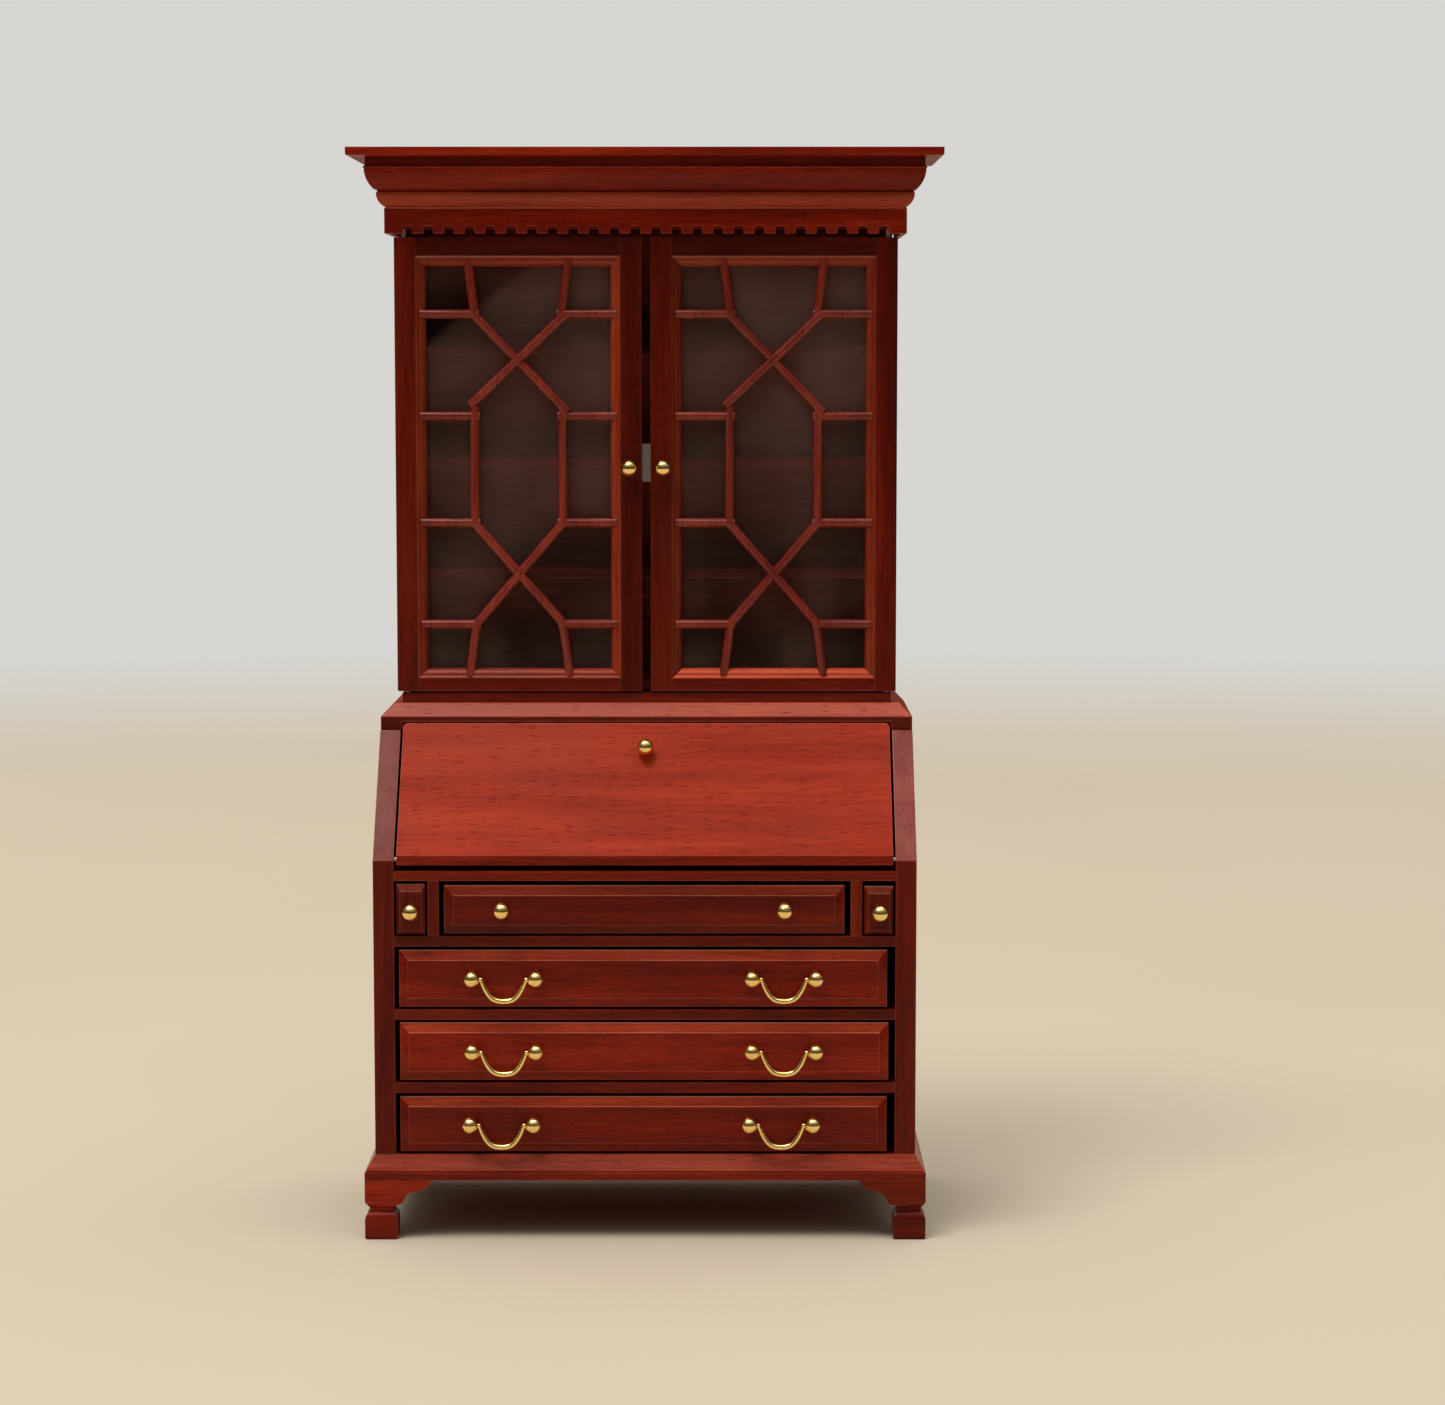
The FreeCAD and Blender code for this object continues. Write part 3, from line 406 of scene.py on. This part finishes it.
def wooden_piece(node, material_of, grain_of, key=lambda p: 0, width=0.16,
                 tones=1.0):
    """Replace a CAD node by the same solids with softened edges and their own run of grain.

    material_of(solid, face, is_edge) and grain_of(solid) choose for each solid that key names.
    tones is one brightness, or one for each solid's name.
    """
    chance = random.Random(f"{SEED} {node}")
    materials = []
    final = bmesh.new()
    grain_layer = final.verts.layers.float_vector.new("grain")
    tone_layer = final.verts.layers.float.new("tone")
    for name, mesh in solid_meshes(node, key):
        edge_faces = soften(mesh, width)
        along = grain_of(name)
        basis = along.to_track_quat("X", "Z").to_matrix().inverted()
        offset = Vector([chance.uniform(-GRAIN_REACH, GRAIN_REACH) for _ in range(3)])
        tone = tones[name] if isinstance(tones, dict) else tones
        tone *= 1 + chance.uniform(-TONE_SPREAD, TONE_SPREAD)
        copies = {}
        for vert in mesh.verts:
            copy = final.verts.new(vert.co)
            copy[grain_layer] = basis @ (vert.co / MM) + offset
            copy[tone_layer] = tone
            copies[vert] = copy
        for face in mesh.faces:
            made = final.faces.new([copies[v] for v in face.verts])
            material = material_of(name, face, face in edge_faces)
            if material not in materials:
                materials.append(material)
            made.material_index = materials.index(material)
            made.smooth = True
        mesh.free()
    final.normal_update()
    for edge in final.edges:
        if len(edge.link_faces) == 2 and edge.calc_face_angle(0) > SHARP:
            edge.smooth = False
    data = bpy.data.meshes.new(node + "_wood")
    final.to_mesh(data)
    final.free()
    for material in materials:
        data.materials.append(material)
    piece = bpy.data.objects.new(node + "_wood", data)
    bpy.context.scene.collection.objects.link(piece)
    weighted = piece.modifiers.new("weighted", "WEIGHTED_NORMAL")
    weighted.keep_sharp = True
    weighted.weight = NORMAL_WEIGHT
    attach(piece, body_of(frame["nodes"][node])[0])
    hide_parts(node)


X = Vector((1, 0, 0))
Y = Vector((0, 1, 0))
Z = Vector((0, 0, 1))


def always(choice):
    """A chooser that makes the same choice for every solid or face."""
    return lambda *_: choice


def mm_box(node):
    low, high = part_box(node)
    return low / MM, high / MM


# ---------------------------------------------------------------- stage and palette

make_camera()
world_light()
make_floor()
area_light("key_softbox", (-0.45, -0.50, 1.45), (0, 0, 0.1), 0.6, 9.0, (1.0, 0.98, 0.95))
bpy.context.scene.view_settings.view_transform = "Standard"

# Each wood: dark, middle and light grain, then the bloom of old lacquer over it
mahogany = wood(
    "mahogany", rgb(0.13, 0.0050, 0.0010), rgb(0.24, 0.0110, 0.0022), rgb(0.38, 0.0260, 0.0055),
    rgb(0.13, 0.0100, 0.0045))
# Rounded edges are paler: partly edge wear, partly a painted highlight of the lacquer
edge_wear_and_highlight = wood(
    "edge_wear_and_highlight", rgb(0.20, 0.014, 0.006), rgb(0.30, 0.026, 0.011), rgb(0.40, 0.045, 0.020),
    rgb(0.22, 0.03, 0.02), specular=0.55, gloss=0.30)
fall_wood = wood(
    "fall_mahogany", rgb(0.28, 0.018, 0.006), rgb(0.40, 0.032, 0.010), rgb(0.50, 0.052, 0.016),
    rgb(0.27, 0.034, 0.024), pore_depth=0.5, gloss=0.42, coat=0.0, specular=0.10)
# Pale for faces that look up: dust together with a painted sheen of the overhead light
dusty_sheen_top = wood(
    "dusty_sheen_mahogany", rgb(0.28, 0.026, 0.009), rgb(0.46, 0.050, 0.018), rgb(0.64, 0.095, 0.038),
    rgb(0.44, 0.070, 0.036), bloom_amount=0.6, pore_depth=0.6, specular=0.35)
# A lighter copy of the moulding wood for moulded faces that catch the light: painted light
lit_moulding = wood(
    "light_moulding", rgb(0.26, 0.022, 0.008), rgb(0.38, 0.044, 0.014), rgb(0.50, 0.080, 0.026),
    rgb(0.20, 0.03, 0.02), pore_depth=0.3, gloss=0.30, coat=0.1, specular=0.25)
plain = wood(
    "plain_wood", rgb(0.22, 0.025, 0.012), rgb(0.32, 0.045, 0.020), rgb(0.40, 0.075, 0.034),
    rgb(0.25, 0.035, 0.02), gloss=0.5, coat=0.0, specular=0.2)
# Dusty end grain with a painted sheen of the overhead light baked into its pale colour
dusty_sheen_cheek = wood(
    "dusty_sheen_cheek", rgb(0.29, 0.044, 0.034), rgb(0.40, 0.075, 0.060), rgb(0.50, 0.116, 0.095),
    rgb(0.42, 0.115, 0.100), pore_depth=0.35, gloss=0.40, coat=0.0, specular=0.25)
# A lighter copy of the mahogany for faces that lean up: painted light from above
lit_bevel_wood = wood(
    "painted_light_bevel_mahogany", rgb(0.27, 0.024, 0.007), rgb(0.42, 0.044, 0.013), rgb(0.58, 0.075, 0.024),
    rgb(0.40, 0.06, 0.03), specular=0.35)
# A darker copy of the mahogany: painted shadow under the cornice cap and painted shade on the desk
# top's front and ends
shade_wood = wood(
    "painted_shade_mahogany", rgb(0.07, 0.0035, 0.0010), rgb(0.12, 0.0065, 0.0018), rgb(0.18, 0.013, 0.004),
    rgb(0.09, 0.010, 0.005))
# Pale pink for rounded edges that look up: a painted highlight of the overhead light
painted_highlight_edge = wood(
    "painted_highlight_edge", rgb(0.72, 0.20, 0.13), rgb(0.84, 0.27, 0.18), rgb(0.95, 0.35, 0.25),
    rgb(0.85, 0.30, 0.22), specular=0.6, gloss=0.28)
bar_wood = wood(
    "bar_mahogany", rgb(0.15, 0.012, 0.006), rgb(0.24, 0.023, 0.012), rgb(0.35, 0.043, 0.024),
    rgb(0.20, 0.030, 0.020), specular=0.5, gloss=0.28, coat=0.1)
brass_metal = brass()
steel_metal = steel()
pane_sheet = acrylic()


# ---------------------------------------------------------------- looks and names of solids

# Rounded edges take the paler edge wood, which is wear together with a painted highlight
def cased(name, face, edge):
    return edge_wear_and_highlight if edge else mahogany


def side_look(name, face, edge):
    """The slanting cheek beside the fall, which looks forwards and up, is dusty end grain with a
    painted sheen of the light from above.
    """
    slanting = face.normal.y < -FALL_FACE and face.normal.z > FALL_FACE
    return dusty_sheen_cheek if slanting and not edge else cased(name, face, edge)


def highlight_line(face, least):
    """An edge that looks further up than least gets a pale line: a painted highlight of the light
    from above.
    """
    return painted_highlight_edge if face.normal.z > least else edge_wear_and_highlight


def front_look(name, face, edge):
    """Bevels that lean up, and the top of the step round the field, take a lighter copy of the wood
    as painted light from above; upper edges get the painted highlight line.
    """
    if edge:
        return highlight_line(face, UPPER_EDGE)
    top = face.normal.z >= LEVEL
    leaning = face.normal.z > LEANING and face.normal.y <= FORWARDS
    return lit_bevel_wood if top or leaning else mahogany


def fall_look(name, face, edge):
    """The writing board's face is bright, and its heel below takes the darker mahogany as painted
    shade; upward edges get the painted highlight line.
    """
    if edge:
        return highlight_line(face, LEVEL_EDGE)
    return fall_wood if face.normal.z > FALL_FACE else mahogany


# Upper edges of the strip and its teeth get the painted highlight line
def dentil_look(name, face, edge):
    return highlight_line(face, UPPER_EDGE) if edge else mahogany


def crown_look(name, face, edge):
    """The small lower ovolo takes the lighter moulding copy as painted light, and the fascia under
    the cap takes the darker copy as painted shadow of the cap.
    """
    if edge:
        return edge_wear_and_highlight
    height = face.calc_center_median().z / MM
    if height < SMALL_OVOLO_TOP:
        return lit_moulding
    return shade_wood if height > FASCIA_BOTTOM else mahogany


def run_key(node):
    """Tells the front run of a mitred moulding from its two side runs."""
    low, high = mm_box(node)

    def key(p):
        past_side = high.x - abs(p.x)
        past_front = p.y - low.y
        if past_side < past_front:
            return "left" if p.x < 0 else "right"
        return "front"
    return key


def run_grain(name):
    return X if name == "front" else Y


def frame_key(node, stile):
    """Tells the two stiles of a door from its two rails."""
    low, high = mm_box(node)

    def key(p):
        if p.x < low.x + stile:
            return "stile_low"
        if p.x > high.x - stile:
            return "stile_high"
        return "rail_low" if p.z < (low.z + high.z) / 2 else "rail_high"
    return key


def frame_grain(name):
    return X if name.startswith("rail") else Z


def sight_key(node):
    """Tells the four mitred lengths round a pane apart by the side that each is nearest to."""
    low, high = mm_box(node)

    def key(p):
        gaps = {"upright_low": p.x - low.x, "upright_high": high.x - p.x,
                "rail_low": p.z - low.z, "rail_high": high.z - p.z}
        return min(gaps, key=gaps.get)
    return key


def topped(name, face, edge):
    """Faces that look upwards are dusty and pale, with a painted sheen of the light from above."""
    return dusty_sheen_top if face.normal.z > DUSTY_SHEEN else cased(name, face, edge)


def desk_top_look(name, face, edge):
    """As the dusty top with its painted sheen, but its front and ends take the darker copy as
    painted shade.
    """
    if face.normal.z > DUSTY_SHEEN:
        return dusty_sheen_top
    return edge_wear_and_highlight if edge else shade_wood


# ---------------------------------------------------------------- build

# Brightness of each length of wood against its material's own colour
# The doors' top rails are darkened as painted shadow of the cornice
FRAME_TONES = {
    "left": {"stile_low": 0.55, "stile_high": 0.36, "rail_high": 0.26, "rail_low": 0.68},
    "right": {"stile_low": 0.50, "stile_high": 0.62, "rail_high": 0.26, "rail_low": 0.66}}
# Each sight length is lighter or darker by the way it faces the light: painted light and shade
SIGHT_LIGHT_AND_SHADE = {
    "left": {"upright_low": 0.62, "upright_high": 0.95, "rail_high": 0.75, "rail_low": 1.0},
    "right": {"upright_low": 0.42, "upright_high": 0.75, "rail_high": 0.65, "rail_low": 1.7}}
SIDE_TONE = {"left": 0.48, "right": 0.72}
BOARD_TONES = {"case_bottom": 0.6, "writing_bed": 0.8, "hutch_plinth": 0.6, "hutch_floor": 0.8,
               "hutch_top": 0.6}
DRAWER_TONES = [0.58, 0.85, 0.97, 0.78]
# The left foot of each pair, then the right
FOOT_TONES = {False: 1.0, True: 0.6}


def build_pairs():
    """The sides, loppers and doors, which come as a left and a right."""
    for side in ("left", "right"):
        wooden_piece("side_" + side, side_look, always(Z), tones=SIDE_TONE[side])
        wooden_piece("hutch_side_" + side, cased, always(Z), tones=0.6)
        wooden_piece("lopper_" + side, front_look, always(Z), tones=0.5)
        door = "door_" + side
        wooden_piece(door + "_frame", cased, frame_grain, frame_key(door + "_frame", DOOR_STILE),
                     width=0.14, tones=FRAME_TONES[side])
        sight = door + "_sight_moulding"
        # The sight mouldings take the lit moulding copy, with painted light and shade by the way
        # each length faces
        wooden_piece(sight, always(lit_moulding), frame_grain, sight_key(sight), width=0.0,
                     tones=SIGHT_LIGHT_AND_SHADE[side])
        wooden_piece(door + "_glazing_bars", always(bar_wood), always(Z), width=0.0, tones=0.9)
        sheet = frame["nodes"][door + "_pane"].data
        sheet.materials.clear()
        sheet.materials.append(pane_sheet)


def by_board(p):
    """Names each of several level boards by its height."""
    return round(p.z / BOARD_STEP)


def on_the_right(p):
    return p.x > 0


def build_boards():
    for node, tone in BOARD_TONES.items():
        wooden_piece(node, cased, always(X), tones=tone)
    for number, tone in enumerate(DRAWER_TONES, 1):
        wooden_piece(f"drawer_front_{number}", front_look, always(X), width=0.17, tones=tone)
    wooden_piece("desk_top", desk_top_look, always(X), tones=0.88)
    wooden_piece("drawer_dividers", cased, always(X), by_board, tones=0.5)
    wooden_piece("shelves", cased, always(X), by_board, tones=0.5)
    wooden_piece("lopper_partitions", cased, always(Z), on_the_right, tones=0.6)


def build_mouldings_and_feet():
    wooden_piece("base_moulding", topped, run_grain, run_key("base_moulding"), width=0.08,
                 tones=0.75)
    wooden_piece("dentil_strip", dentil_look, run_grain, run_key("dentil_strip"), width=0.18,
                 tones=0.95)
    wooden_piece("crown_moulding", crown_look, run_grain, run_key("crown_moulding"), width=0.06,
                 tones=0.95)
    wooden_piece("cornice_cap", cased, always(X), width=0.0)
    for node in ("front_feet", "rear_feet"):
        wooden_piece(node, cased, always(X), on_the_right, width=0.1, tones=FOOT_TONES)


def build_fall():
    wooden_piece("fall_panel", fall_look, always(X), tones=1.06)


def build_hidden_wood():
    boxes = [f"drawer_box_{number}" for number in (1, 2, 3, 4)]
    for node in ["case_back", "hutch_back", "frieze_frame", "pigeonholes"] + boxes:
        wooden_piece(node, always(plain), always(X), width=0.0)


def dress_metal():
    """Brass and steel fittings keep their CAD meshes and take on the metals made here."""
    for node in frame["nodes"].values():
        slot = node.data.materials[0].name
        if "brass" in slot:
            node.data.materials[0] = brass_metal
        elif "steel" in slot:
            node.data.materials[0] = steel_metal


build_pairs()
build_boards()
build_mouldings_and_feet()
build_fall()
dress_metal()
build_hidden_wood()
